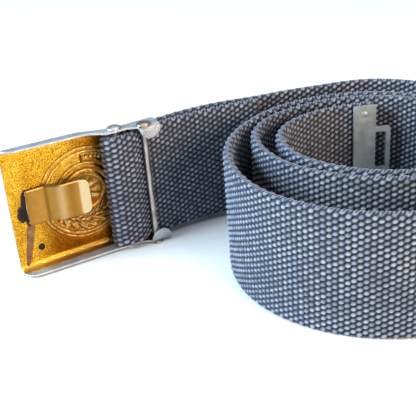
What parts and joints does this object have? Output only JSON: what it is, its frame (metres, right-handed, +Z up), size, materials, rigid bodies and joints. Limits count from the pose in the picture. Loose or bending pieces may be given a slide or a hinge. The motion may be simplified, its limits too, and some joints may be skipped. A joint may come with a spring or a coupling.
{
  "type": "webbing waist belt",
  "caption": "Rolled woven waist belt standing on edge, with a stamped box-plate buckle seen from behind, a sprung hook and a steel eye catch on its inner end.",
  "frame": {"origin": "middle of the footprint, on the plane the belt stands on", "axes": "+Z up across the webbing's width, +X from the buckle towards the roll's far bend, +Y towards the roll's back, away from the side the buckle's inside faces"},
  "size_m": [0.18, 0.1106, 0.0497],
  "materials": {
    "webbing": "coarse plain weave, matt",
    "stamped_brass": "pebbled gold-coloured sheet",
    "hook_brass": "satin",
    "braze": "dark rough flux residue",
    "bright_steel": "satin",
    "zinc_steel": "dull zinc"
  },
  "bodies": {
    "roll": {"strap_outer_turn": "webbing", "strap_middle_turn": "webbing", "strap_inner_turn": "webbing"},
    "lead": {"strap_lead": "webbing"},
    "loop": {"strap_loop": "webbing", "clamp_bar": "bright_steel"},
    "shell": {"buckle_shell": "stamped_brass", "catch_hook": "hook_brass", "hook_braze": "braze"},
    "rod": {"guide_rod": "bright_steel"},
    "tail": {"strap_tail": "webbing"},
    "inner_end": {"strap_end": "webbing", "end_catch": "zinc_steel", "catch_back_plate": "zinc_steel", "catch_rivets": "zinc_steel"}
  },
  "joints": [
    {"name": "lead_flex", "type": "hinge", "parent": "roll", "child": "lead", "pos_m": [0.01588, 0.04883, 0], "axis": [0, 0, 1], "range_deg": [-45, 8]},
    {"name": "mouth_flex", "type": "hinge", "parent": "lead", "child": "loop", "pos_m": [-0.034, 0.02788, 0], "axis": [0, 0, 1], "range_deg": [-8, 1]},
    {"name": "buckle_play", "type": "hinge", "parent": "loop", "child": "shell", "pos_m": [-0.05042, 0.01575, 0], "axis": [0, 0, 1], "range_deg": [-1.5, 1.5]},
    {"name": "rod_turn", "type": "hinge", "parent": "shell", "child": "rod", "pos_m": [-0.03986, 0.01718, 0], "axis": [0, 0, 1], "continuous": true},
    {"name": "tail_lift", "type": "hinge", "parent": "loop", "child": "tail", "pos_m": [-0.03233, 0.02475, 0], "axis": [0, 0, 1], "range_deg": [-8, 2]},
    {"name": "catch_flex", "type": "hinge", "parent": "roll", "child": "inner_end", "pos_m": [0.03029, 0.0283, 0], "axis": [0, 0, 1], "range_deg": [-25, 1]}
  ]
}
